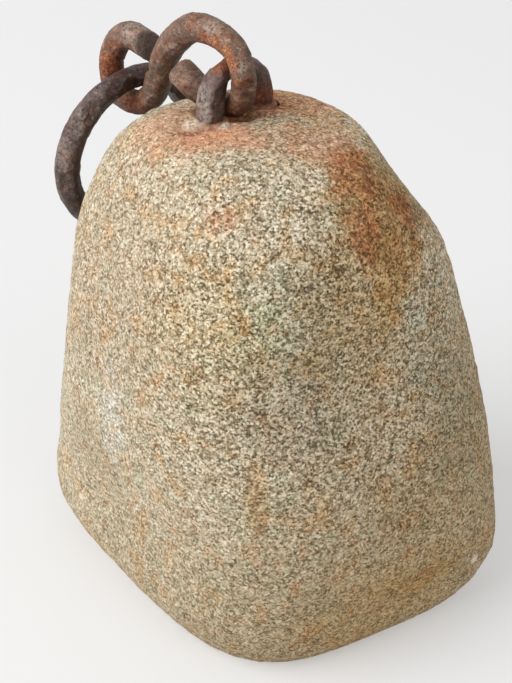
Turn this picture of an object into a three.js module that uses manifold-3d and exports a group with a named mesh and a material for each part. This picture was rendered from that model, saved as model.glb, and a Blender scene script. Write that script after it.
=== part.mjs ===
// A tall granite boulder weight. A forged iron staple is leaded into its crown, an S-shaped hook is closed round
// the staple's bow, and a large pull ring hangs from the hook over the back of the stone's left shoulder.
// Millimetres, +Z up, origin at the middle of the flat resting face. -Y is the front.
import * as THREE from 'three';
import { LoftGeometry } from 'three/addons/geometries/LoftGeometry.js';
import { mergeVertices } from 'three/addons/utils/BufferGeometryUtils.js';
import Module from 'manifold-3d';

// ---------------------------------------------------------------------------------------------- dimensions

// The boulder's level sections are rounded quadrilaterals. Each is set by its centre, its half-size along the two
// directions that its sides follow, and its squareness (2 is an ellipse, higher is squarer).
const SHORT_HEADING = 29;
const LONG_HEADING = 127;
const STONE_LEVELS = [
  { z: 0, x: 0, y: 0, short: 93, long: 110, square: 3.7 },
  { z: 6, x: 0, y: -1, short: 97, long: 114, square: 3.8 },
  { z: 25, x: 1, y: -2, short: 104.5, long: 118, square: 3.9 },
  { z: 70, x: 2, y: -6, short: 103, long: 121, square: 3.4 },
  { z: 130, x: 1, y: -10, short: 104, long: 108, square: 2.9 },
  { z: 190, x: -2.5, y: -13, short: 97, long: 93, square: 2.8 },
  { z: 240, x: -6.5, y: -14, short: 83, long: 86, square: 2.7 },
  { z: 275, x: -8, y: -13, short: 66, long: 72, square: 2.6 },
  { z: 291, x: -9, y: -12, short: 55, long: 54, square: 2.4 },
  { z: 298, x: -11, y: -12, short: 34, long: 32, square: 2.2 },
  { z: 300, x: -11, y: -12, short: 4, long: 4, square: 2 },
];
const STONE_RINGS = 32;
const STONE_SIDES = 52;

// Broad hollows and swellings of the boulder: where, how far they reach, and how far they move the skin outwards.
const SWELLINGS = [
  { at: [64, -10, 270], reach: 26, out: -4 },
  { at: [88, -20, 232], reach: 22, out: 1.5 },
];

// The two holes drilled in the crown for the staple's legs. They widen downwards so that the lead run in round
// each leg keys in place. The lead stops a little under the mouth at the back and stands proud at the front.
const HOLES = [
  { name: 'lead_front', x: -30.5, y: -17.5, floor: 246, mouth: 9.4, foot: 11.5, lead: 297.2 },
  { name: 'lead_back', x: -5, y: 5.4, floor: 246, mouth: 8.7, foot: 11, lead: 298.2 },
];
const HOLE_TOP = 306;

// The shallow trough worn and cut between the legs, where the bend of the hook sits.
const TROUGH = { at: [-24, -6.5, 304.5], heading: 160, size: [22, 13, 11.4] };

// Clearance left between neighbouring pieces.
const GAP = 0.3;

// ---------------------------------------------------------------------------------------------- helpers

const wasm = await Module();
wasm.setup();

const rad = THREE.MathUtils.degToRad;

function toSolid(geometry) {
  const bare = new THREE.BufferGeometry().copy(geometry);
  bare.deleteAttribute('normal');
  bare.deleteAttribute('uv');
  const merged = mergeVertices(bare, 1e-4);
  return new wasm.Manifold(
    new wasm.Mesh({
      numProp: 3,
      vertProperties: new Float32Array(merged.attributes.position.array),
      triVerts: new Uint32Array(merged.index.array),
    }),
  );
}

function toGeometry(solid) {
  const { vertProperties, triVerts } = solid.getMesh();
  const geometry = new THREE.BufferGeometry();
  geometry.setAttribute('position', new THREE.BufferAttribute(vertProperties, 3));
  geometry.setIndex(new THREE.BufferAttribute(triVerts, 1));
  geometry.computeVertexNormals();
  return geometry;
}

const ROD_SIDES = 12;

// A forged rod: a curve through knots [x, y, z, radius], with the radius running evenly from knot to knot.
function rodGeometry(knots, stations, closed = false) {
  const curve = new THREE.CatmullRomCurve3(
    knots.map(([x, y, z]) => new THREE.Vector3(x, y, z)),
    closed,
  );
  const frames = curve.computeFrenetFrames(stations, closed);
  const spans = closed ? knots.length : knots.length - 1;
  const sections = [];
  for (let i = 0; i <= stations; i++) {
    const along = i / stations;
    const place = curve.getUtoTmapping(along) * spans;
    const knot = Math.min(Math.floor(place), spans - 1);
    const from = knots[knot][3];
    const to = knots[(knot + 1) % knots.length][3];
    const radius = THREE.MathUtils.lerp(from, to, place - knot);
    const centre = curve.getPointAt(along);
    const section = [];
    for (let k = 0; k < ROD_SIDES; k++) {
      const turn = (2 * Math.PI * k) / ROD_SIDES;
      section.push(
        centre
          .clone()
          .addScaledVector(frames.normals[i], Math.cos(turn) * radius)
          .addScaledVector(frames.binormals[i], Math.sin(turn) * radius),
      );
    }
    sections.push(section);
  }
  if (closed) {
    sections[stations] = sections[0];
  }
  return new LoftGeometry(sections, { capStart: !closed, capEnd: !closed });
}

const material = (color, roughness, metalness = 0) =>
  new THREE.MeshStandardMaterial({ color, roughness, metalness });

const part = new THREE.Group();

function addNode(name, geometry, look) {
  const mesh = new THREE.Mesh(geometry, look);
  mesh.name = name;
  part.add(mesh);
  return mesh;
}

// ---------------------------------------------------------------------------------------------- the boulder

const LEVEL_KEYS = ['z', 'x', 'y', 'short', 'long', 'square'];

// Smooth values between the levels, spaced by how far the flank travels from one level to the next.
function levelInterpolant() {
  const travel = [0];
  for (let i = 1; i < STONE_LEVELS.length; i++) {
    const [low, high] = [STONE_LEVELS[i - 1], STONE_LEVELS[i]];
    travel.push(travel[i - 1] + Math.hypot(high.z - low.z, high.short - low.short));
  }
  const values = STONE_LEVELS.flatMap((level) => LEVEL_KEYS.map((key) => level[key]));
  return { interpolant: new THREE.CubicInterpolant(travel, values, LEVEL_KEYS.length), length: travel.at(-1) };
}

function stonePoint([z, x, y, short, long, square], turn) {
  const [c, s] = [Math.cos(turn), Math.sin(turn)];
  const reach = (Math.abs(c) ** square + Math.abs(s) ** square) ** (-1 / square);
  const [p, q] = [c * reach * short, s * reach * long];
  const [a, b] = [rad(SHORT_HEADING), rad(LONG_HEADING)];
  const outX = p * Math.cos(a) + q * Math.cos(b);
  const outY = p * Math.sin(a) + q * Math.sin(b);
  const point = new THREE.Vector3(x + outX, y + outY, z);
  const outward = new THREE.Vector3(outX, outY, 0).normalize();
  for (const { at, reach: spread, out } of SWELLINGS) {
    const distance = point.distanceTo(new THREE.Vector3(...at));
    point.addScaledVector(outward, out * Math.exp(-((distance / spread) ** 2)));
  }
  return point;
}

function stoneGeometry() {
  const { interpolant, length } = levelInterpolant();
  const sections = [];
  for (let i = 0; i <= STONE_RINGS; i++) {
    const level = Array.from(interpolant.evaluate((length * i) / STONE_RINGS));
    const section = [];
    for (let k = 0; k < STONE_SIDES; k++) {
      section.push(stonePoint(level, (2 * Math.PI * k) / STONE_SIDES));
    }
    sections.push(section);
  }
  return new LoftGeometry(sections, { capStart: true, capEnd: true });
}

// A round plug standing on a hole's floor, shrunk all round by the clearance given.
function plugSolid({ x, y, floor, mouth, foot }, top, clearance) {
  const wall = (z) => THREE.MathUtils.mapLinear(z, floor, HOLE_TOP, foot, mouth) - clearance;
  const low = floor + clearance;
  const profile = [
    new THREE.Vector2(0, low),
    new THREE.Vector2(wall(low), low),
    new THREE.Vector2(wall(top), top),
    new THREE.Vector2(0, top),
  ];
  const geometry = new THREE.LatheGeometry(profile, 24);
  geometry.rotateX(Math.PI / 2);
  geometry.translate(x, y, 0);
  return toSolid(geometry);
}

function troughSolid() {
  const geometry = new THREE.SphereGeometry(1, 24, 14);
  geometry.scale(...TROUGH.size);
  geometry.rotateZ(rad(TROUGH.heading));
  geometry.translate(...TROUGH.at);
  return toSolid(geometry);
}

const trough = troughSolid();
let stone = toSolid(stoneGeometry()).subtract(trough);
for (const hole of HOLES) {
  stone = stone.subtract(plugSolid(hole, HOLE_TOP, 0));
}
addNode('stone', toGeometry(stone), material(0x968769, 0.92));

// ---------------------------------------------------------------------------------------------- ironwork

// The bow is worn thinner between the legs, where the hook has swung in it.
const STAPLE = [
  [-30.5, -17.5, 258, 5.4],
  [-30.5, -17.5, 288, 5.8],
  [-30.5, -17.5, 297, 6.6],
  [-30.3, -17.3, 305, 8],
  [-29.8, -16.8, 312, 8.1],
  [-28, -15.2, 318.6, 7.1],
  [-23.8, -11.4, 323.5, 6],
  [-17.8, -6, 324.2, 5.8],
  [-11.5, -0.4, 320.8, 6.4],
  [-7, 3.6, 314.5, 7.2],
  [-5, 5.4, 305, 7.2],
  [-5, 5.4, 292, 6.2],
  [-5, 5.4, 258, 5.4],
];
const STAPLE_STATIONS = 32;
addNode('staple', rodGeometry(STAPLE, STAPLE_STATIONS), material(0x4d3f38, 0.75, 0.5));

const socketKnots = STAPLE.map(([x, y, z, radius], i) => {
  const isTip = i === 0 || i === STAPLE.length - 1;
  return [x, y, isTip ? z - GAP : z, radius + GAP];
});
const socket = toSolid(rodGeometry(socketKnots, STAPLE_STATIONS));
for (const hole of HOLES) {
  const lead = plugSolid(hole, hole.lead, GAP).subtract(socket).subtract(trough);
  addNode(hole.name, toGeometry(lead), material(0x8d8880, 0.7, 0.3));
}

const S_HOOK = [
  [-46.5, 5, 316.7, 8],
  [-42, -0.5, 314.2, 8.2],
  [-36, -1.9, 308.6, 7.6],
  [-29.5, -1, 303.8, 6.9],
  [-22.5, -4.5, 302, 6.6],
  [-16.5, -10.5, 305, 6.8],
  [-13.8, -18.5, 314.7, 6.9],
  [-13.4, -23.5, 326.6, 6.6],
  [-16, -21.7, 336.8, 6.7],
  [-24.5, -12.5, 342.8, 7.1],
  [-37.5, -1, 343.3, 7.7],
  [-48, 12, 332, 7.9],
  [-55, 24, 317.5, 7.9],
  [-60, 34.5, 300, 7.8],
  [-64.5, 44, 285.5, 7.5],
  [-74, 52, 277, 7.2],
  [-85.3, 58.3, 281, 7.2],
  [-88.3, 59.6, 296, 7.3],
  [-84.7, 58.3, 309.5, 7.5],
  [-77.5, 53.5, 317.2, 7.7],
  [-70.5, 47.5, 316.4, 7.8],
  [-62.2, 39.9, 313.6, 7.8],
];

// The chisel cut that ended the bar at the tip of its ring loop: a flat face through a point, and its heading.
const CUT = { at: [-64.6, 41.8, 314.4], outward: [0.36, -0.9, 0.24], size: 26, depth: 10 };

function chiselSolid() {
  const outward = new THREE.Vector3(...CUT.outward).normalize();
  const geometry = new THREE.BoxGeometry(CUT.size, CUT.size, CUT.depth);
  geometry.translate(0, 0, CUT.depth / 2);
  geometry.applyQuaternion(new THREE.Quaternion().setFromUnitVectors(new THREE.Vector3(0, 0, 1), outward));
  geometry.translate(...CUT.at);
  return toSolid(geometry);
}

const sHook = toSolid(rodGeometry(S_HOOK, 66)).subtract(chiselSolid());
addNode('s_hook', toGeometry(sHook), material(0x594034, 0.75, 0.5));

const RING_CENTRE = new THREE.Vector3(-80.5, 54.2, 248.1);
const RING_NORMAL = new THREE.Vector3(-0.69, 0.72, 0.11).normalize();
const RING_RADIUS = 44.8;
const RING_ROD = 7.3;
// The bar is worn thinner where it hangs in the hook.
const RING_WEAR = { depth: 0.7, halfWidth: 35 };

function ringKnots() {
  const side = new THREE.Vector3(0, 0, 1).cross(RING_NORMAL).normalize();
  const up = RING_NORMAL.clone().cross(side);
  const knots = [];
  for (let k = 0; k < 12; k++) {
    const turn = (2 * Math.PI * k) / 12;
    const at = RING_CENTRE.clone()
      .addScaledVector(side, RING_RADIUS * Math.cos(turn))
      .addScaledVector(up, RING_RADIUS * Math.sin(turn));
    const fromTop = THREE.MathUtils.radToDeg(turn) - 90;
    const wear = RING_WEAR.depth * Math.exp(-((fromTop / RING_WEAR.halfWidth) ** 2));
    knots.push([at.x, at.y, at.z, RING_ROD - wear]);
  }
  return knots;
}
addNode('ring', rodGeometry(ringKnots(), 44, true), material(0x4a3d3a, 0.75, 0.5));

export default part;
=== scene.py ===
"""A granite boulder weight with a leaded iron staple, an S-hook and a pull ring.

Every piece is a fine mesh grown from its CAD solid, so that it keeps the solid's place and size, with a worn
skin, hammer flats and rust pits shaped into it. Materials are procedural. Shapes and materials work in
millimetres of the part's own frame, and only the stage, lights and camera are in metres.
"""
import math

import bpy
import numpy as np
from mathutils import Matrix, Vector, noise
from mathutils.bvhtree import BVHTree


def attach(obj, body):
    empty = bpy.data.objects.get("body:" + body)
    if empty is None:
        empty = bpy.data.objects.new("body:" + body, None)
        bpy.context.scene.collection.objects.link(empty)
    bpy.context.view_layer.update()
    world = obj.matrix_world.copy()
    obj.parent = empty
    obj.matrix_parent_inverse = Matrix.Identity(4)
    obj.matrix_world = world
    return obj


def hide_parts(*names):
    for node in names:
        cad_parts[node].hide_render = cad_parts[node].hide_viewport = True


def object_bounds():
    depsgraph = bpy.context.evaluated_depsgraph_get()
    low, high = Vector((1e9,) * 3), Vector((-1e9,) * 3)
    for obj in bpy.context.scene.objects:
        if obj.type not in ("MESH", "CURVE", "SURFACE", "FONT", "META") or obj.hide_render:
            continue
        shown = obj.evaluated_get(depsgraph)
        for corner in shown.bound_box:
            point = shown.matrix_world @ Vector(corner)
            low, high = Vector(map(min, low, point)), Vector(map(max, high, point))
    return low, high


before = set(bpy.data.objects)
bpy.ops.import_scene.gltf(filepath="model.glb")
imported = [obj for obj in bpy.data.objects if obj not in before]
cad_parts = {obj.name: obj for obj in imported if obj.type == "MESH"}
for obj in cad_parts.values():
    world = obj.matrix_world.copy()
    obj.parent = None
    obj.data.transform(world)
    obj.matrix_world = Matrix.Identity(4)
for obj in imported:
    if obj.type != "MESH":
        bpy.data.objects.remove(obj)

CAD_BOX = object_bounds()
MM = 0.001

# ----------------------------------------------------------------------------------------- fine meshes


def voxel_copy(node, name, voxel, smoothing):
    """A new object with the CAD node's shape in small even quads."""
    piece = bpy.data.objects.new(name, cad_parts[node].data.copy())
    bpy.context.scene.collection.objects.link(piece)
    piece.data.materials.clear()
    return remeshed(piece, name, voxel, smoothing)


def remeshed(piece, name, voxel, smoothing):
    """The same object with its closed shape rebuilt in small even quads."""
    remesh = piece.modifiers.new("remesh", "REMESH")
    remesh.mode = "VOXEL"
    remesh.voxel_size = voxel * MM
    remesh.use_smooth_shade = True
    if smoothing:
        smooth = piece.modifiers.new("smooth", "SMOOTH")
        smooth.factor = 0.5
        smooth.iterations = smoothing
    bpy.context.view_layer.update()
    shape = bpy.data.meshes.new_from_object(piece.evaluated_get(bpy.context.evaluated_depsgraph_get()))
    piece.modifiers.clear()
    piece.data = shape
    piece.name = shape.name = name
    return piece


def points_of(piece):
    """The mesh's points and their normals, in millimetres."""
    count = len(piece.data.vertices)
    places = np.empty(count * 3)
    normals = np.empty(count * 3)
    piece.data.vertices.foreach_get("co", places)
    piece.data.vertices.foreach_get("normal", normals)
    return places.reshape(-1, 3) / MM, normals.reshape(-1, 3)


def set_points(piece, places):
    """Moves the mesh's points there, and no farther than the sides of the CAD box."""
    low, high = (np.array(corner) / MM for corner in CAD_BOX)
    piece.data.vertices.foreach_set("co", (np.clip(places, low, high) * MM).ravel())
    piece.data.update()


def softened(piece, places, rounds):
    """The points after each has moved halfway to the middle of its neighbours, so many times."""
    ends = np.empty(len(piece.data.edges) * 2, dtype=np.int64)
    piece.data.edges.foreach_get("vertices", ends)
    near, far = ends.reshape(-1, 2).T
    count = np.maximum(np.bincount(ends, minlength=len(places)), 1)[:, None]
    for _ in range(rounds):
        total = np.zeros_like(places)
        for axis in range(3):
            total[:, axis] = (np.bincount(near, places[far, axis], len(places))
                              + np.bincount(far, places[near, axis], len(places)))
        places = 0.5 * places + 0.5 * total / count
    return places


# Each seed reads the noise somewhere else, along these directions.
RIPPLE_SHIFT = Vector((17.3, -9.1, 5.7))
CELL_SHIFT = Vector((3.1, 7.7, -4.3))
FRACTAL_INCREMENT = 0.8
LACUNARITY = 2.1


def ripples(places, wavelength, seed, octaves=1):
    """Smooth noise from about -1 to 1 at each point, with features of about that many millimetres."""
    steps = [Vector(p) / wavelength + RIPPLE_SHIFT * seed for p in places]
    if octaves == 1:
        return np.array([noise.noise(s) for s in steps]) * 1.4
    return np.array([noise.fractal(s, FRACTAL_INCREMENT, LACUNARITY, octaves) for s in steps])


def nearest_cells(places, size, seed):
    """The nearest of scattered centres for each point: how far it is, in cell sizes, and where it is."""
    found = [noise.voronoi(Vector(p) / size + CELL_SHIFT * seed) for p in places]
    distances = np.array([near[0][0] for near in found])
    centres = np.array([near[1][0] for near in found])
    return distances, centres


def falloff(places, centre, radius):
    """1 at the centre, about a third at the radius, and fading smoothly to 0 past it."""
    distance = np.linalg.norm(places - np.array(centre), axis=1)
    return np.exp(-((distance / radius) ** 2))


def finish_piece(piece, body, node, material):
    """Gives the piece its material, and puts it in the place of its CAD node."""
    piece.data.materials.clear()
    piece.data.materials.append(material)
    piece.data.shade_smooth()
    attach(piece, body)
    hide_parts(node)


# --------------------------------------------------------------------------------------- shader graphs


class Graph:
    """One material's nodes. Places in it are millimetres of the part's frame."""

    def __init__(self, name):
        self.material = bpy.data.materials.new(name)
        self.material.use_nodes = True
        self.tree = self.material.node_tree
        self.tree.nodes.clear()
        coordinates = self.tree.nodes.new("ShaderNodeTexCoord").outputs["Object"]
        self.place = self.vector("SCALE", coordinates, scale=1 / MM)
        self.facing = self.tree.nodes.new("ShaderNodeTexCoord").outputs["Normal"]

    def link(self, value, socket):
        """Feeds a socket from another node's output, or sets it to a plain value."""
        if isinstance(value, bpy.types.NodeSocket):
            self.tree.links.new(value, socket)
        elif value is not None:
            socket.default_value = value

    def node(self, kind, inputs=None, **settings):
        made = self.tree.nodes.new(kind)
        for key, value in settings.items():
            setattr(made, key, value)
        for key, value in (inputs or {}).items():
            self.link(value, made.inputs[key])
        return made

    def vector(self, operation, a, b=None, scale=None):
        made = self.node("ShaderNodeVectorMath", operation=operation)
        self.link(a, made.inputs[0])
        self.link(b, made.inputs[1])
        if scale is not None:
            self.link(scale, made.inputs["Scale"])
        return made.outputs["Value" if operation in ("DISTANCE", "LENGTH", "DOT_PRODUCT") else "Vector"]

    def math(self, operation, a, b=None, c=None, clamp=False):
        made = self.node("ShaderNodeMath", operation=operation, use_clamp=clamp)
        for value, socket in zip((a, b, c), made.inputs):
            self.link(value, socket)
        return made.outputs[0]

    def mix(self, share, a, b, blend="MIX"):
        made = self.node("ShaderNodeMix", data_type="RGBA", blend_type=blend)
        self.link(share, made.inputs[0])
        self.link(a, made.inputs[6])
        self.link(b, made.inputs[7])
        return made.outputs[2]

    def tint(self, share, colour, factors):
        """The colour multiplied by linear factors, as far as the share says."""
        return self.mix(share, colour, (*factors, 1), "MULTIPLY")

    def cloud(self, size, detail=2.0, roughness=0.5, distortion=0.0):
        """A noise node with features of about that many millimetres."""
        return self.node("ShaderNodeTexNoise", {
            "Vector": self.place, "Scale": 1 / size, "Detail": detail, "Roughness": roughness,
            "Distortion": distortion,
        })

    def noise(self, size, detail=2.0, roughness=0.5, distortion=0.0):
        """Smooth noise about 0.5."""
        return self.cloud(size, detail, roughness, distortion).outputs[0]

    def grains(self, size, place):
        """One random number for each crystal of about that many millimetres."""
        cells = self.node("ShaderNodeTexVoronoi", {"Vector": place, "Scale": 1 / size})
        return self.node("ShaderNodeSeparateColor", {0: cells.outputs["Color"]}).outputs[0]

    def ramp(self, share, stops):
        """A colour for each value: stops are pairs of a value and its colour, in rising order."""
        made = self.node("ShaderNodeValToRGB", {0: share})
        elements = made.color_ramp.elements
        elements[0].position, elements[0].color = stops[0]
        elements[1].position, elements[1].color = stops[-1]
        for position, colour in stops[1:-1]:
            elements.new(position).color = colour
        return made.outputs["Color"]

    def span(self, value, low, high):
        """0 below low, 1 above high, and smooth between them."""
        made = self.node("ShaderNodeMapRange", {"Value": value, "From Min": low, "From Max": high},
                         interpolation_type="SMOOTHSTEP")
        return made.outputs["Result"]

    def along(self, heading, start=(0, 0, 0)):
        """Millimetres along a direction from a starting place."""
        offset = self.vector("SUBTRACT", self.place, start)
        return self.vector("DOT_PRODUCT", offset, tuple(Vector(heading).normalized()))

    def near(self, centre, radius, ragged, stretch=(1, 1, 1)):
        """A patch round a point: 1 inside, 0 outside, with a ragged edge."""
        offset = self.vector("SUBTRACT", self.place, centre)
        squashed = self.vector("DIVIDE", offset, stretch)
        distance = self.vector("LENGTH", squashed)
        rough = self.math("MULTIPLY_ADD", ragged, radius * 1.2, -radius * 0.6)
        return self.span(self.math("ADD", distance, rough), radius * 1.25, radius * 0.45)

    def surface(self, colour, roughness, height, depth, strength, **constants):
        """The finished material, with a bump that many millimetres deep."""
        shader = self.node("ShaderNodeBsdfPrincipled", {"Base Color": colour, "Roughness": roughness})
        for key, value in constants.items():
            self.link(value, shader.inputs[key.replace("_", " ")])
        bump = self.node("ShaderNodeBump", {"Height": height, "Distance": depth * MM, "Strength": strength})
        self.tree.links.new(bump.outputs["Normal"], shader.inputs["Normal"])
        output = self.node("ShaderNodeOutputMaterial")
        self.tree.links.new(shader.outputs[0], output.inputs["Surface"])
        return self.material


def srgb(red, green, blue):
    """A linear colour from 8-bit display values."""
    linear = [c / 255 / 12.92 if c / 255 <= 0.04045 else ((c / 255 + 0.055) / 1.055) ** 2.4
              for c in (red, green, blue)]
    return (*linear, 1.0)


def granite_material():
    """Weathered granite: small mixed crystals, drifts of warmer and greyer stone, and rust by the iron."""
    g = Graph("weathered_granite")
    wander = g.vector("SUBTRACT", g.cloud(0.8).outputs["Color"], (0.5, 0.5, 0.5))
    ragged = g.vector("ADD", g.place, g.vector("SCALE", wander, scale=1.1))
    coarse = g.grains(1.3, ragged)
    fine = g.grains(0.8, ragged)
    dust = g.noise(0.5)
    clumps = g.noise(5.5, 4, 0.6)
    broad = g.noise(40, 4, 0.55)
    edge = g.noise(13, 6, 0.68)

    # Crystals: mostly cream feldspar, with grey quartz and dark flecks of mica. The front is the crispest.
    crisp = g.near((30, -100, 205), 95, edge, (1, 1, 1.2))
    mineral = g.math("MULTIPLY_ADD", coarse, 0.50, g.math("MULTIPLY", fine, 0.40))
    mineral = g.math("MULTIPLY_ADD", dust, 0.16, g.math("ADD", mineral, -0.02))
    mineral = g.math("MULTIPLY_ADD", clumps, -0.34, g.math("ADD", mineral, 0.17))
    spread = g.math("MULTIPLY_ADD", crisp, 0.40, 1.05)
    mineral = g.math("MULTIPLY_ADD", g.math("SUBTRACT", mineral, 0.5), spread, 0.54)
    mineral = g.math("MULTIPLY_ADD", crisp, -0.05, mineral)
    colour = g.ramp(mineral, [
        (0.04, srgb(88, 76, 58)), (0.20, srgb(116, 101, 77)), (0.36, srgb(148, 133, 105)),
        (0.52, srgb(182, 168, 141)), (0.70, srgb(206, 193, 168)), (0.94, srgb(238, 229, 210)),
    ])

    # Drifts of warmer and greyer stone, small blushes of iron, and dark clusters of mica.
    drift = g.noise(16, 5, 0.6, distortion=0.5)
    colour = g.tint(g.span(drift, 0.50, 0.64), colour, (1.0, 0.88, 0.74))
    colour = g.tint(g.span(drift, 0.48, 0.36), colour, (0.90, 0.95, 0.93))
    blush = g.span(g.noise(8, 4, 0.6), 0.57, 0.70)
    colour = g.tint(g.math("MULTIPLY", blush, 0.8), colour, (1.0, 0.82, 0.72))
    cluster = g.span(g.noise(3.4, 4, 0.6), 0.60, 0.72)
    colour = g.tint(g.math("MULTIPLY", cluster, 0.8), colour, (0.62, 0.58, 0.54))

    # Earth ground into the foot, and painted shade: darker towards the bottom, most of all on the right.
    low = g.math("MULTIPLY_ADD", broad, 90, g.along((1, 0, -1)))
    earth_and_shade = g.span(low, -125, 70)
    colour = g.tint(earth_and_shade, colour, (0.72, 0.64, 0.52))

    # Tinted patches, among them a painted strip of light on the left and painted shade on the upper left.
    for centre, radius, stretch, factors, share in GRANITE_TINTS_AND_LIGHT:
        patch = g.math("MULTIPLY", g.near(centre, radius, edge, stretch), share)
        colour = g.tint(patch, colour, factors)

    # Rust that has soaked in: a haze, and thicker clots that begin to hide the grain. One entry is not rust
    # but a painted shadow under the lead's front lip.
    clots = g.noise(3.2, 6, 0.72)
    for centre, radius, stretch, haze, rust, cover, veil in RUST_STAINS_AND_SHADOW:
        patch = g.near(centre, radius, edge, stretch)
        colour = g.tint(g.math("MULTIPLY", patch, 0.85), colour, haze)
        clot = g.span(g.math("MULTIPLY_ADD", patch, 0.16, clots), 0.60, 0.74)
        film = g.math("MULTIPLY", g.math("MULTIPLY_ADD", fine, 0.6, 0.4), cover)
        glaze = [channel ** 0.9 for channel in rust[:3]]
        stained = g.mix(veil, g.tint(1.0, colour, glaze), rust)
        colour = g.mix(g.math("MULTIPLY", clot, film, clamp=True), colour, stained)

    for centre, radius, shown in CHIPS:
        colour = g.mix(g.math("MULTIPLY", g.near(centre, radius, clumps), 0.8), colour, shown)

    grit = g.math("MULTIPLY", g.noise(0.6, 3, 0.7), 0.7)
    height = g.math("MULTIPLY_ADD", fine, 0.4, grit)
    roughness = g.math("MULTIPLY_ADD", mineral, -0.14, 0.95)
    return g.surface(colour, roughness, height, 0.4, 0.7, Specular_IOR_Level=0.3)


# Tinted patches, two of them painted light and shade: centre, radius, stretch, linear factors on the
# stone's own colour, and strength.
GRANITE_TINTS_AND_LIGHT = [
    ((50, -80, 240), 34, (0.9, 1, 1.5), (0.90, 0.80, 0.66), 0.7),
    ((26, -90, 246), 22, (1, 1, 1.3), (0.82, 0.75, 0.62), 0.65),
    ((62, -77, 226), 14, (0.8, 1, 1.6), (0.98, 0.88, 0.66), 0.5),
    ((44, -87, 205), 40, (0.9, 1, 1), (0.86, 0.80, 0.66), 0.6),
    ((5, -97, 247), 16, (1, 1, 1), (0.95, 1.0, 1.0), 0.8),
    ((-4, -104, 218), 20, (0.9, 1, 1.4), (0.90, 0.94, 0.88), 0.8),
    ((20, -102, 212), 22, (1, 1, 1), (0.80, 0.84, 0.80), 0.7),
    ((86, -66, 196), 26, (0.7, 1, 1.9), (0.82, 0.86, 0.86), 0.7),
    ((100, -60, 140), 28, (0.8, 1, 2), (0.76, 0.78, 0.76), 0.8),
    ((70, -20, 262), 34, (1, 1.4, 1), (0.80, 0.70, 0.58), 0.9),
    ((58, -60, 274), 34, (1, 1.3, 1), (0.84, 0.76, 0.62), 0.8),
    ((10, -110, 182), 36, (1, 1, 1), (0.82, 0.81, 0.80), 0.9),
    ((-30, -95, 215), 40, (1, 1, 1.2), (1.0, 0.97, 0.86), 0.9),
    ((-104, -42, 100), 34, (1, 1, 1), (0.87, 0.84, 0.79), 0.9),
    # A pale strip of painted light, where the left face turns towards the light.
    ((-88, -63, 138), 17, (0.8, 1, 2.4), (1.13, 1.26, 1.48), 0.8),
    # Painted shade over the upper left, toning down the light there.
    ((-85, -60, 215), 60, (1, 1, 1.5), (0.94, 0.90, 0.88), 1.0),
    ((-7, -120, 126), 14, (0.6, 1, 1.8), (0.94, 0.84, 0.68), 0.5),
    ((70, -104, 36), 56, (1.3, 1, 0.7), (1.0, 0.90, 0.72), 0.8),
    ((74, -103, 100), 26, (1, 1, 0.8), (0.90, 0.82, 0.70), 0.7),
]
# A haze is the linear factors of a thin stain, which leaves the grain clear.
SALMON_HAZE = (1.08, 0.82, 0.71)
RUST_HAZE = (0.95, 0.70, 0.52)
OCHRE_HAZE = (0.96, 0.87, 0.70)
# Each stain has a centre, a radius, a stretch, its haze, the colour of its clots, how strong they are and
# how far they hide the grain.
RUST_STAINS_AND_SHADOW = [
    ((-42, -16, 298), 34, (1.2, 0.9, 1), SALMON_HAZE, srgb(206, 164, 136), 1.0, 0.75),
    ((-24, -36, 298), 19, (1.8, 0.8, 1), SALMON_HAZE, srgb(208, 162, 136), 1.0, 0.75),
    ((4, 16, 296), 32, (1.2, 1, 1), (1.12, 0.73, 0.56), srgb(190, 142, 114), 0.7, 0.3),
    ((-12, 4, 298), 20, (1.2, 1, 1), (0.86, 0.66, 0.54), srgb(140, 96, 72), 0.8, 0.3),
    ((28, -37, 296), 22, (1.3, 1, 1), (1.0, 0.78, 0.66), srgb(206, 146, 124), 0.8, 0.3),
    ((43, -51, 286), 19, (1, 1, 1.1), RUST_HAZE, srgb(160, 100, 72), 0.8, 0.3),
    ((56, -58, 270), 34, (1, 1, 1.2), (0.96, 0.80, 0.62), srgb(176, 126, 94), 0.4, 0.3),
    ((71, -47, 265), 11, (0.8, 1, 1.8), (0.94, 0.72, 0.64), srgb(156, 94, 76), 0.65, 0.3),
    ((47, -71, 264), 13, (0.8, 1, 1.8), (0.98, 0.80, 0.70), srgb(190, 126, 104), 0.7, 0.3),
    ((64, -71, 240), 20, (1, 1, 1.1), OCHRE_HAZE, srgb(186, 144, 92), 0.6, 0.3),
    # Not rust: a painted shadow under the front edge of the lead's lip.
    ((-40, -27.5, 298), 5.5, (1.7, 0.6, 1), (0.60, 0.52, 0.46), srgb(84, 64, 48), 0.8, 0.6),
    ((-25, -80, 275), 8, (1.6, 1, 1), (1.0, 0.88, 0.82), srgb(206, 130, 104), 0.6, 0.3),
    ((-7, -119, 126), 12, (0.6, 1, 1.9), (0.98, 0.90, 0.78), srgb(184, 132, 90), 0.5, 0.3),
    ((88, -94, 46), 20, (1.5, 1, 0.7), OCHRE_HAZE, srgb(182, 126, 78), 0.4, 0.3),
]
# Small spots: chipped corners that show pale stone, and two dark pits. Centre, radius and colour.
CHIPS = [
    ((122, -68, 39), 4.5, srgb(216, 208, 190)),
    ((-115, -21, 48), 3.5, srgb(226, 218, 202)),
    ((20, -94, 243), 2.6, srgb(74, 66, 56)),
    ((2, -98, 251), 2.0, srgb(78, 70, 60)),
]

# The direction of the light that is painted onto the iron: up and to the left.
LIGHT_SIDE = tuple(Vector((-0.55, -0.15, 0.8)).normalized())


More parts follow.
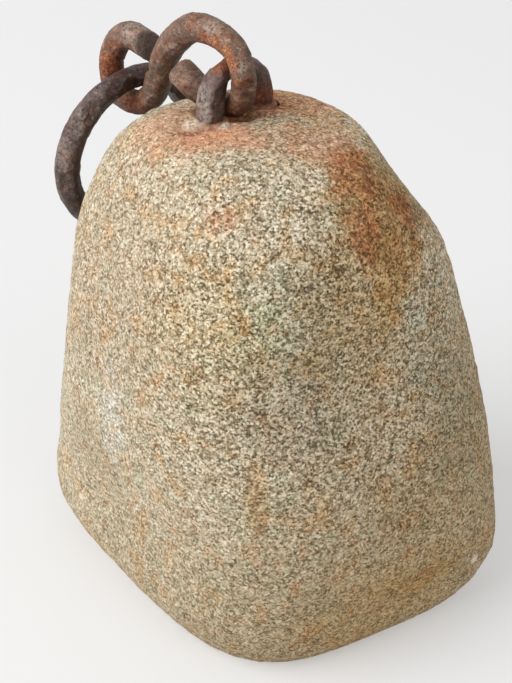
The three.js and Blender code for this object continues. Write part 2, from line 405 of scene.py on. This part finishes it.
def iron_material(name, tone, rust_and_light_spots, pale_and_lit_spots, glint_spots=(), cut=None):
    """Old wrought iron: brown skin, redder scale, orange rust, grey spots of wear, and painted light and
    shade:
    a paler side towards the light and a darker side away from it.

    The tone is the skin's display colour. Rust spots, a few of them painted highlight, and pale spots of
    wear and painted light are a centre, a radius and a share, and painted glints a centre and a radius. A
    cut is a place on a sawn face, which is painted dark as shade, and the direction that the face looks in.
    """
    g = Graph(name)
    blotches = g.noise(6.5, 7, 0.7, distortion=0.7)
    streaks = g.noise(2.6, 5, 0.65)
    specks = g.noise(0.8, 3, 0.65)
    edge = g.noise(4.5, 5, 0.65)
    mottle = g.math("MULTIPLY_ADD", blotches, 0.5, g.math("MULTIPLY", streaks, 0.2))
    mottle = g.math("MULTIPLY_ADD", specks, 0.30, mottle)
    skin = g.ramp(mottle, [
        (0.34, srgb(*(c * 0.52 for c in tone))), (0.45, srgb(*(c * 0.80 for c in tone))),
        (0.53, srgb(*(c * 1.06 for c in tone))), (0.62, srgb(*(c * 1.32 + 8 for c in tone))),
    ])
    reddish = g.span(g.noise(8, 5, 0.6), 0.5, 0.62)
    skin = g.tint(g.math("MULTIPLY", reddish, 0.8), skin, (0.98, 0.58, 0.42))

    spots = g.math("MULTIPLY", g.span(streaks, 0.60, 0.70), 0.5)
    for centre, radius, share in rust_and_light_spots:
        spots = g.math("MAXIMUM", spots, g.math("MULTIPLY", g.near(centre, radius, edge), share))
    rust = g.ramp(g.math("MULTIPLY_ADD", specks, 0.5, g.math("MULTIPLY", streaks, 0.5)), [
        (0.36, srgb(78, 42, 28)), (0.47, srgb(128, 68, 40)), (0.56, srgb(160, 92, 52)),
        (0.66, srgb(200, 136, 82)),
    ])
    colour = g.mix(spots, skin, rust)
    # Painted glints: small golden highlights in flakes.
    for centre, radius in glint_spots:
        glints = g.math("MULTIPLY", g.near(centre, radius, edge), g.span(specks, 0.46, 0.56))
        colour = g.mix(g.math("MULTIPLY", glints, 0.55), colour, srgb(204, 154, 108))

    # Grey wear at random, and listed pale spots that are partly painted light on faces towards the light.
    worn = g.math("MULTIPLY_ADD", streaks, 0.6, g.math("MULTIPLY", specks, 0.4))
    worn_and_lit = g.math("MULTIPLY", g.span(worn, 0.56, 0.63), 0.45)
    for centre, radius, share in pale_and_lit_spots:
        patch = g.math("MULTIPLY", g.near(centre, radius, edge), g.span(streaks, 0.34, 0.60))
        worn_and_lit = g.math("MAXIMUM", worn_and_lit, g.math("MULTIPLY", patch, share))
    colour = g.mix(worn_and_lit, colour, srgb(164, 150, 138))

    # Painted light and shade: the side facing the light is painted paler, and the side away from it darker,
    # with a ragged edge.
    toward_light = g.vector("DOT_PRODUCT", g.facing, LIGHT_SIDE)
    painted_shade = g.span(g.math("MULTIPLY_ADD", streaks, 0.5, toward_light), 0.75, -0.30)
    colour = g.tint(painted_shade, colour, (0.44, 0.38, 0.34))
    colour = g.tint(g.span(toward_light, 0.35, 0.95), colour, (1.08, 1.08, 1.10))
    pits = g.span(g.noise(1.3, 3, 0.6), 0.40, 0.31)
    colour = g.mix(g.math("MULTIPLY", pits, 0.6), colour, srgb(44, 32, 27))
    # The sawn end: a pale speckled rim, and the face itself painted dark as shade.
    if cut:
        at, outward = cut
        tip = g.near(at, 13, edge)
        past = g.along(outward, at)
        rim = g.math("MULTIPLY", g.span(past, -4.5, -2.2), g.span(specks, 0.38, 0.55))
        pale_rim = g.math("MULTIPLY", g.math("MULTIPLY", rim, tip), 0.55)
        cut_face_shade = g.math("MULTIPLY", g.math("MULTIPLY", g.span(past, -1.6, -0.5), tip), 0.8)
        colour = g.mix(pale_rim, colour, srgb(176, 160, 142))
        colour = g.mix(cut_face_shade, colour, srgb(64, 48, 42))

    roughness = g.math("MULTIPLY_ADD", spots, 0.30, g.math("MULTIPLY_ADD", specks, 0.30, 0.34))
    height = g.math("MULTIPLY_ADD", specks, 0.5, g.math("MULTIPLY", pits, -0.5))
    height = g.math("MULTIPLY_ADD", streaks, 0.6, height)
    return g.surface(colour, roughness, height, 0.5, 0.9, Metallic=0.2, Specular_IOR_Level=0.5)


def lead_material():
    """Poured lead, stained like the stone: white where the front lip has broken, dark round the back leg."""
    g = Graph("whitened_lead")
    blotches = g.noise(2.2, 5, 0.7)
    specks = g.noise(0.7, 3, 0.65)
    value = g.math("MULTIPLY_ADD", specks, 0.4, g.math("MULTIPLY", blotches, 0.6))
    stained = g.ramp(value, [
        (0.36, srgb(112, 80, 62)), (0.50, srgb(168, 124, 98)), (0.62, srgb(200, 156, 126)),
    ])
    whitened = g.ramp(value, [
        (0.36, srgb(110, 88, 70)), (0.46, srgb(190, 168, 140)), (0.55, srgb(236, 228, 212)),
    ])
    left_break = g.near((-39.5, -21.5, 299), 8, blotches, (1, 0.8, 1))
    right_break = g.near((-22, -26, 299), 5, blotches)
    white = g.math("MULTIPLY", g.math("MAXIMUM", left_break, right_break), 0.7)
    colour = g.mix(white, stained, whitened)
    colour = g.tint(g.near((-5, 5, 298), 16, blotches), colour, (0.62, 0.50, 0.44))
    return g.surface(colour, 0.7, value, 0.7, 1.0, Metallic=0.1)


# ------------------------------------------------------------------------------------------- the stone

# Small hollows knocked out of the crown beside the staple, and a broad one on the right shoulder: centre,
# radius and depth.
HOLLOWS = [
    ((-45, -17, 299), 5.5, 2.2),
    ((-40, -29, 299), 4, 1.0),
    ((8, 6, 298), 7, 2.0),
    ((72, -30, 273), 26, 2.8),
]
# Where the staple's front and back legs go into the stone.
LEG_FEET = [(-30.5, -17.5, 297), (-5, 5.4, 298)]


def weathered_stone():
    """The boulder, worn in from the CAD solid by broad waves, lumps, crumbs of grain and small pits."""
    voxel = 1.2
    piece = voxel_copy("stone", "stone_fine", voxel, 3)
    places, normals = points_of(piece)
    broad = ripples(places, 52, 1, 3)
    lumps = ripples(places, 13, 2, 4)
    crumbs = ripples(places, 3.6, 3)
    distances, _ = nearest_cells(places, 3.2, 4)
    pits = np.clip(0.42 - distances, 0, 1) / 0.42
    depth = 0.85 + 0.9 * broad + 0.4 * lumps + 0.2 * crumbs + 0.3 * pits
    depth = np.clip(depth, 0, None)
    # The resting face stays flat, and the mouths of the holes stay where the lead meets them.
    depth *= np.clip(places[:, 2] / 5, 0, 1)
    for foot in LEG_FEET:
        depth *= 1 - 0.75 * falloff(places, foot, 11)
    for centre, radius, hollow in HOLLOWS:
        depth += hollow * falloff(places, centre, radius)
    set_points(piece, places - normals * depth[:, None])
    finish_piece(piece, "boulder", "stone", granite_material())
    return piece


# -------------------------------------------------------------------------------------------- the iron


def hammer_flats(places, normals, size, bite, seed):
    """Flattens the skin in patches of about that size, each by up to bite times the patch's own bulge."""
    _, centres = nearest_cells(places, size, seed)
    _, patch = np.unique(np.round(centres, 3), axis=0, return_inverse=True)
    patch = patch.ravel()
    count = np.bincount(patch)
    facing = np.stack([np.bincount(patch, normals[:, axis]) / count for axis in range(3)], axis=1)
    agreement = np.linalg.norm(facing, axis=1)
    facing /= np.maximum(agreement, 1e-6)[:, None]
    height = np.einsum("ij,ij->i", places, facing[patch])
    middle = (np.bincount(patch, height) / count)[patch]
    over = np.clip(height - middle, 0, None) * bite * (agreement[patch] > 0.55)
    return places - facing[patch] * over[:, None]


def plane_cut(places, at, outward, reach):
    """Brings points that stand outside a plane back to it, fading out over the last third of its reach."""
    softness = 0.35
    at = np.array(at, dtype=float)
    outward = np.array(outward, dtype=float) / np.linalg.norm(outward)
    over = np.clip((places - at) @ outward, 0, None)
    distance = np.linalg.norm(places - at, axis=1)
    weight = np.clip((reach - distance) / (softness * reach), 0, 1)
    return places - outward * (over * weight)[:, None]


# Where pieces of different bodies bear on each other, the skin keeps to the CAD solid. Elsewhere rust has
# swollen it by this much before it is hammered flat and pitted.
BEARINGS = [((-80, 54, 290), 13), ((-20, -6, 318), 15)]
SWELL = 0.3


def forged(node, body, material, flats, seed, cuts=()):
    """A hammered bar: flats of about that size where the hammer fell, plates of scale, and rust pits.

    Cuts are rows for plane_cut.
    """
    voxel = 0.62
    piece = voxel_copy(node, node + "_fine", voxel, 3)
    places, normals = points_of(piece)
    bearing = sum(falloff(places, centre, radius) for centre, radius in BEARINGS)
    bearing = np.clip(bearing * 1.6, 0, 1)
    places = places + normals * (SWELL * (1 - bearing))[:, None]
    places = hammer_flats(places, normals, flats, 0.75, seed)
    for at, outward, reach in cuts:
        places = plane_cut(places, at, outward, reach)
    places = softened(piece, places, 2)
    scale = np.clip((ripples(places, 4.5, seed + 1, 3) + 0.05) * 4, 0, 1) * 0.14
    pits = np.clip(ripples(places, 1.7, seed + 2) - 0.3, 0, 1) * 0.3
    lumps = 0.12 * (1 + ripples(places, 7, seed + 3))
    set_points(piece, places - normals * (scale + pits + lumps)[:, None])
    finish_piece(piece, body, node, material)


# -------------------------------------------------------------------------------------------- the lead


ABOVE_STONE = 330


def slab_mesh(outer, ground, lowest, rise, centre, seed):
    """A closed ring of lead whose top rises that much above the ground, and comes down to it at the edge.

    Outer gives the edge's radius at each turn about the centre.
    """
    inner = 5.2
    thickness = 4
    steps = 12
    turns = 72
    top = []
    for i in range(steps + 1):
        share = i / steps
        for k in range(turns):
            turn = 2 * math.pi * k / turns
            radius = inner + (outer(turn) - inner) * share
            x = centre[0] + radius * math.cos(turn)
            y = centre[1] + radius * math.sin(turn)
            hit = ground.ray_cast(Vector((x, y, ABOVE_STONE)) * MM, Vector((0, 0, -1)))[0]
            level = max(lowest, hit.z / MM if hit else 0)
            ripple = 1 + 0.5 * noise.noise(Vector((x / 3 + seed, y / 3, 1.3)))
            top.append((x, y, level + rise * ripple * (1 - share ** 6) - 0.35 * share ** 6))
    bottom = [(x, y, z - thickness) for x, y, z in top]
    size = len(top)
    faces = []
    for i in range(steps):
        for k in range(turns):
            a = i * turns + k
            b = i * turns + (k + 1) % turns
            faces.append((a, a + turns, b + turns, b))
            faces.append((a + size, b + size, b + turns + size, a + turns + size))
    for k in range(turns):
        a = k
        b = (k + 1) % turns
        faces.append((a, b, b + size, a + size))
        a += steps * turns
        b += steps * turns
        faces.append((a, a + size, b + size, b))
    return top + bottom, faces


# A plug grows by this much into the stone and the iron about it, so that no gap shows.
PLUG_GROWTH = 0.55


def poured_lead(node, centre, outer, rise, ground, seed):
    """A lead plug that fills its hole up to the stone and the iron, and the lip that ran over the stone."""
    plug = voxel_copy(node, node + "_plug", 0.6, 1)
    places, normals = points_of(plug)
    places = places + normals * PLUG_GROWTH
    lip, lip_faces = slab_mesh(outer, ground, places[:, 2].max(), rise, centre, seed)
    shift = len(places)
    points = [tuple(p * MM for p in place) for place in list(places) + lip]
    faces = [tuple(face.vertices) for face in plug.data.polygons]
    faces += [tuple(i + shift for i in face) for face in lip_faces]
    joined = bpy.data.meshes.new(node + "_joined")
    joined.from_pydata(points, [], faces)
    plug.data = joined
    voxel = 0.45
    piece = remeshed(plug, node + "_fine", voxel, 1)
    places, normals = points_of(piece)
    chips = 0.25 * ripples(places, 2.6, seed, 3)
    set_points(piece, places - normals * chips[:, None])
    finish_piece(piece, "boulder", node, lead_material())


def torn_edge(turn, seed):
    """How an edge wanders in and out round a full turn, from about -1 to 1."""
    return noise.noise(Vector((3 * math.cos(turn), 3 * math.sin(turn), seed)))


def tongue(turn, length, heading, width):
    """How far a tongue of lead stands out at a turn. Its heading and width are in degrees."""
    return length * math.exp(-((math.degrees(turn) - heading) / width) ** 2)


def front_lip(turn):
    """The radius of the front lip, which runs out farthest to the left and a little to the right."""
    return 9.3 + tongue(turn, 6.5, 205, 38) + tongue(turn, 4, 318, 24) + 0.9 * torn_edge(turn, 4)


def back_lip(turn):
    """The radius of the back lip, which is nearly round."""
    return 9.0 + 0.8 * torn_edge(turn, 9)


# ------------------------------------------------------------------------------------------ the object

stone = weathered_stone()
stone_points = [point.co.copy() for point in stone.data.vertices]
ground = BVHTree.FromPolygons(stone_points, [tuple(face.vertices) for face in stone.data.polygons])

# Faces hammered on the staple: its front leg's left and right, the top of its bend, its back leg's right.
# Each has a place, the direction that it faces and how far round that place it reaches.
STAPLE_CUTS = [
    ((-34.9, -21.1, 307), (-0.76, -0.64, 0.12), 19),
    ((-26.0, -21.8, 306), (0.72, -0.70, 0.04), 17),
    ((-26.5, -17.5, 325.5), (-0.45, -0.50, 0.74), 11),
    ((0.4, 2.0, 307), (0.80, -0.60, 0.05), 15),
]
# Display colours of the iron's skin, and the spots on it.
STAPLE_TONE = (104, 84, 76)
HOOK_TONE = (126, 97, 79)
RING_TONE = (91, 74, 69)
HOOK_CUT = ((-64.6, 41.8, 314.4), (0.36, -0.9, 0.24))
HOOK_RUST_AND_RIM_LIGHT = [
    ((-88, 52, 297), 12, 0.95), ((-74, 46, 276), 12, 0.7), ((-20, -20, 333), 9, 0.85),
    ((-27, -12, 336), 8, 0.7), ((-15, -28, 324), 6, 0.5), ((-18, -16, 303), 7, 0.6),
    ((-84, 52, 312), 6, 0.5), ((-55, 18, 322), 8, 0.3),
    # These four along the arch's inner rim are orange rust and painted highlight.
    ((-33, -14, 342), 5, 0.8), ((-27, -19, 341), 5, 0.9), ((-22, -25, 339), 4.5, 1.0),
    ((-19, -28, 334), 4.5, 1.0),
]
# Painted golden glints along the arch's inner rim.
HOOK_GLINTS = [((-29, -17, 341), 4), ((-22, -25, 339), 4), ((-19, -28, 334), 3.5), ((-16, -29, 326), 3)]
# Pale wear, and painted highlights on the arch's top and inner rim.
HOOK_PALE_AND_LIT = [
    ((-29, -14, 349), 5, 0.6), ((-74, 47, 322), 7, 0.7), ((-38, -4, 314), 6, 0.6),
    ((-48, 4, 330), 5, 0.5), ((-14, -28, 333), 4, 0.7),
]
STAPLE_RUST = [((-25, -14, 327), 6, 0.8), ((-2, 1, 303), 9, 0.8), ((-27, -24, 299), 4, 0.6)]
# Painted light on the front leg's left face, which turns towards the light.
STAPLE_LIT_FACE = [((-37, -24, 313), 9, 0.9), ((-35, -25, 304), 7, 0.8)]
# A painted highlight on the ring's left side, towards the light.
RING_HIGHLIGHT = [((-106, 10, 285), 16, 0.6), ((-118, 14, 262), 12, 0.5)]

staple_iron = iron_material("staple_iron", STAPLE_TONE, STAPLE_RUST, STAPLE_LIT_FACE)
hook_iron = iron_material("hook_iron", HOOK_TONE, HOOK_RUST_AND_RIM_LIGHT, HOOK_PALE_AND_LIT, HOOK_GLINTS, HOOK_CUT)
ring_iron = iron_material("ring_iron", RING_TONE, [], RING_HIGHLIGHT)

forged("staple", "boulder", staple_iron, flats=9, seed=5, cuts=STAPLE_CUTS)
forged("s_hook", "hook", hook_iron, flats=9, seed=9)
forged("ring", "pull_ring", ring_iron, flats=12, seed=13)
poured_lead("lead_front", LEG_FEET[0], front_lip, rise=2.1, ground=ground, seed=17)
poured_lead("lead_back", LEG_FEET[1], back_lip, rise=0.5, ground=ground, seed=23)

# ------------------------------------------------------------------------------------- stage and light

FLOOR_HALF = 12.0
FLOOR_COLOUR = srgb(192, 192, 192)
FLOOR_GLOW = 0.3


def floor_material():
    """Pale matt paper, with a little light of its own so that the stone's shadow on it stays soft."""
    made = bpy.data.materials.new("pale_floor")
    made.use_nodes = True
    shader = made.node_tree.nodes["Principled BSDF"]
    shader.inputs["Base Color"].default_value = FLOOR_COLOUR
    shader.inputs["Roughness"].default_value = 0.9
    shader.inputs["Emission Color"].default_value = (1, 1, 1, 1)
    shader.inputs["Emission Strength"].default_value = FLOOR_GLOW
    return made


floor_mesh = bpy.data.meshes.new("floor")
corners = [(x * FLOOR_HALF, y * FLOOR_HALF, 0) for x, y in ((-1, -1), (1, -1), (1, 1), (-1, 1))]
floor_mesh.from_pydata(corners, [], [(0, 1, 2, 3)])
floor = bpy.data.objects.new("floor", floor_mesh)
bpy.context.scene.collection.objects.link(floor)
floor_mesh.materials.append(floor_material())

STONE_MIDDLE = Vector((0, 0, 0.15))


def area_light(name, place, size, power):
    """A round soft light that faces the middle of the stone."""
    lamp = bpy.data.lights.new(name, "AREA")
    lamp.shape = "DISK"
    lamp.size = size
    lamp.energy = power
    holder = bpy.data.objects.new(name, lamp)
    holder.location = place
    holder.rotation_euler = (STONE_MIDDLE - Vector(place)).to_track_quat("-Z", "Y").to_euler()
    bpy.context.scene.collection.objects.link(holder)


area_light("key", (-3.1, -1.1, 2.9), size=4.0, power=158)
area_light("fill", (1.2, -1.6, 1.3), size=1.8, power=7)

world = bpy.data.worlds.new("studio")
bpy.context.scene.world = world
world.use_nodes = True
world.node_tree.nodes["Background"].inputs["Color"].default_value = (1, 1, 1, 1)
world.node_tree.nodes["Background"].inputs["Strength"].default_value = 0.6
bpy.context.scene.view_settings.view_transform = "Standard"

# ---------------------------------------------------------------------------------------------- camera

# Metres, degrees from straight down, and the degrees of the view's longer side.
CAMERA_PLACE = (-0.007, -0.718, 0.633)
CAMERA_TILT = 56
VERTICAL_VIEW = 26
camera = bpy.data.cameras.new("camera")
camera.lens = camera.sensor_width / 2 / math.tan(math.radians(VERTICAL_VIEW / 2))
camera_holder = bpy.data.objects.new("camera", camera)
camera_holder.location = CAMERA_PLACE
camera_holder.rotation_euler = (math.radians(CAMERA_TILT), 0, 0)
bpy.context.scene.collection.objects.link(camera_holder)
bpy.context.scene.camera = camera_holder
